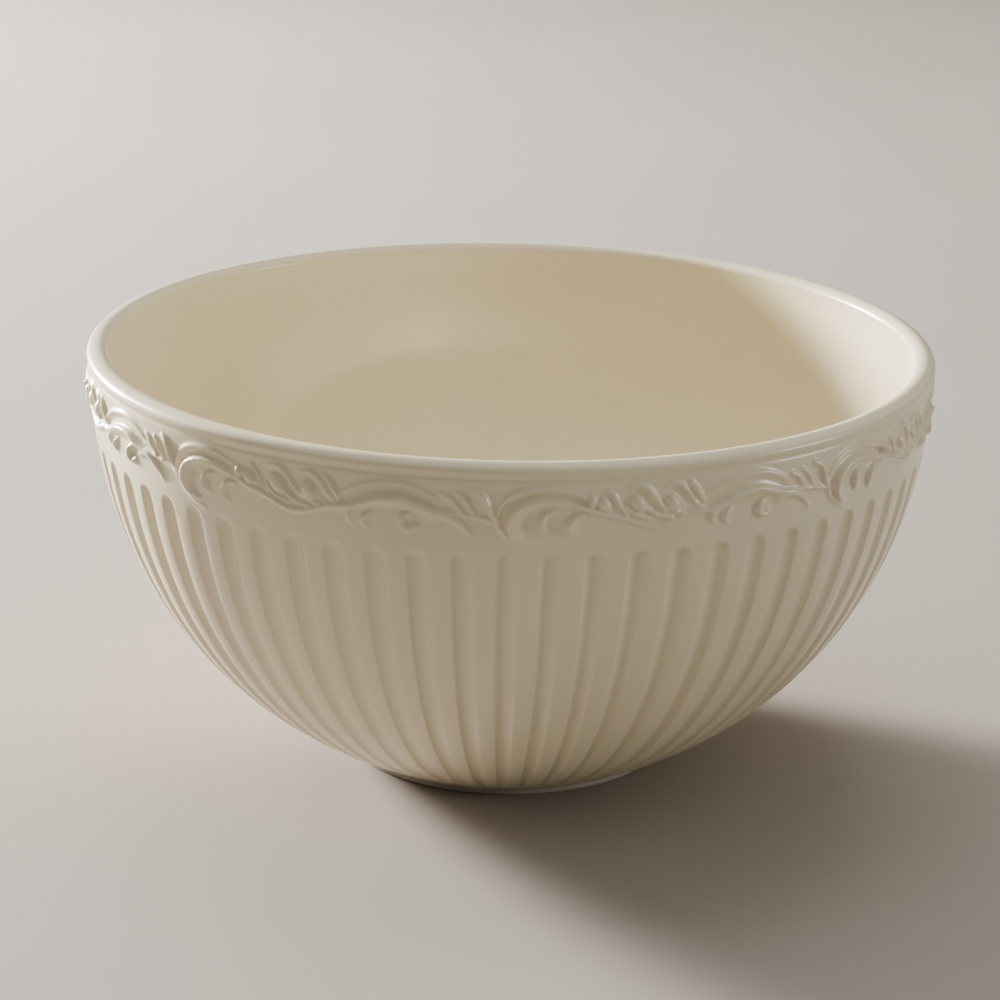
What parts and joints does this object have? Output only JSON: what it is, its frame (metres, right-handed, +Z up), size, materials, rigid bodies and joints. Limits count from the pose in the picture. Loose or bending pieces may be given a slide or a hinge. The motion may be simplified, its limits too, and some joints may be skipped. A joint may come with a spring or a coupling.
{
  "type": "serving bowl",
  "caption": "Round ceramic serving bowl with a fluted wall, a raised scroll frieze under a rolled lip, and a low foot ring.",
  "frame": {"origin": "centre of the foot ring's resting plane", "axes": "+Z up along the bowl's axis; -Y is the side that the first scroll of the frieze starts on"},
  "size_m": [0.2516, 0.2516, 0.126],
  "materials": {
    "glazed_ceramic": "glossy cream glaze",
    "foot_ceramic": "glazed, with a wiped matt standing edge"
  },
  "bodies": {
    "root": {"bowl_body": "glazed_ceramic", "foot_ring": "foot_ceramic", "scroll_crests": "glazed_ceramic", "scroll_curls": "glazed_ceramic", "leaf_sprays": "glazed_ceramic", "spray_stems": "glazed_ceramic", "wave_arches": "glazed_ceramic", "wave_curls": "glazed_ceramic", "tall_leaves": "glazed_ceramic", "beads": "glazed_ceramic"}
  },
  "joints": []
}
